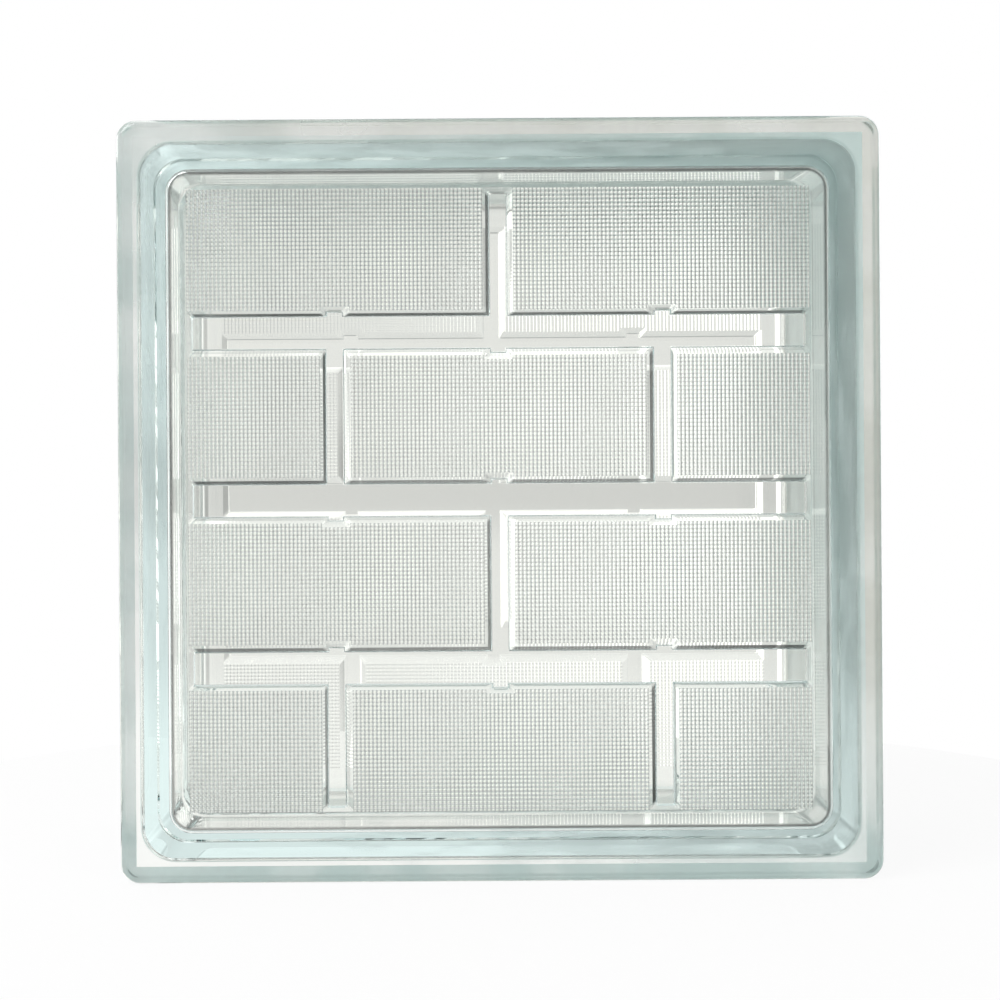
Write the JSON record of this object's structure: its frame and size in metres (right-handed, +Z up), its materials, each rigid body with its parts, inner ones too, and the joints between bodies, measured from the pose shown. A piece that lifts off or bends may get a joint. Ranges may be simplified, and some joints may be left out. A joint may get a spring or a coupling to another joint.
{
  "type": "glass block",
  "caption": "Square hollow glass block for walls, with a brick pattern pressed inside both panes and a mortar channel around its edges.",
  "frame": {"origin": "on the floor under the centre of the bottom edge, midway between the two faces", "axes": "+X to the right along the face, +Y from the front face to the back face, +Z up"},
  "size_m": [0.19, 0.08, 0.19],
  "materials": {
    "glass": "clear pressed glass, slightly green"
  },
  "bodies": {
    "root": {"glass_block": "glass"}
  },
  "joints": []
}
